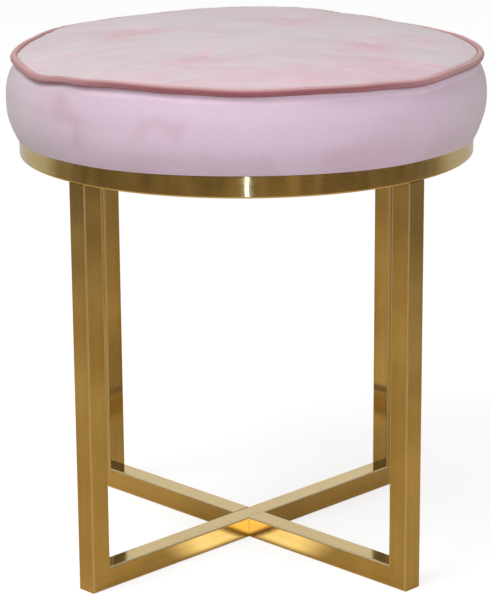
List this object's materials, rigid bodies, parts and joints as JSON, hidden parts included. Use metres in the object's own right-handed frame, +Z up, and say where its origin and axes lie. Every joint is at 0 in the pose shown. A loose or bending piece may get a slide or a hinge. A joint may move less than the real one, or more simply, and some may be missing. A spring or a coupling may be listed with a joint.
{
  "type": "stool",
  "caption": "Round upholstered stool: tufted velvet cushion with piping on a ring, straight square-tube legs and a crossed base that lies flat on the floor.",
  "frame": {"origin": "on the floor, under the middle of the seat", "axes": "+Z up; the front is towards -Y, midway between two legs; +X to the right as seen from the front"},
  "size_m": [0.4306, 0.4306, 0.4798],
  "materials": {
    "polished_brass": "polished, mirror-like, with faint brushing along the tube",
    "zinc_steel": "zinc plated, satin",
    "plywood": "raw birch plywood",
    "black_cloth": "thin non-woven dust cloth",
    "foam": "open-cell seat foam",
    "wadding": "polyester fibre wadding",
    "pink_velvet": "short-pile velvet, pale pink, brushed both ways",
    "rose_velvet": "short-pile velvet, dusty rose, stretched over cord",
    "twine": "waxed upholstery twine",
    "anchor_plastic": "moulded"
  },
  "bodies": {
    "root": {"apron_ring": "polished_brass", "leg_front_left": "polished_brass", "leg_front_right": "polished_brass", "leg_back_left": "polished_brass", "leg_back_right": "polished_brass", "floor_bar_long": "polished_brass", "floor_bar_half_front": "polished_brass", "floor_bar_half_back": "polished_brass", "seat_tab_1": "polished_brass", "seat_tab_2": "polished_brass", "seat_tab_3": "polished_brass", "seat_tab_4": "polished_brass", "seat_bolt_1": "zinc_steel", "seat_bolt_2": "zinc_steel", "seat_bolt_3": "zinc_steel", "seat_bolt_4": "zinc_steel", "seat_washer_1": "zinc_steel", "seat_washer_2": "zinc_steel", "seat_washer_3": "zinc_steel", "seat_washer_4": "zinc_steel", "tee_nut_1": "zinc_steel", "tee_nut_2": "zinc_steel", "tee_nut_3": "zinc_steel", "tee_nut_4": "zinc_steel", "seat_board": "plywood", "dust_cover": "black_cloth", "foam_pad": "foam", "wadding_layer": "wadding", "cover_side_band": "pink_velvet", "cover_top_panel": "pink_velvet", "piping_cord": "rose_velvet", "tuft_button_1": "pink_velvet", "tuft_button_2": "pink_velvet", "tuft_button_3": "pink_velvet", "tuft_button_4": "pink_velvet", "tuft_twine_1": "twine", "tuft_twine_2": "twine", "tuft_twine_3": "twine", "tuft_twine_4": "twine", "tuft_anchor_1": "anchor_plastic", "tuft_anchor_2": "anchor_plastic", "tuft_anchor_3": "anchor_plastic", "tuft_anchor_4": "anchor_plastic"}
  },
  "joints": []
}
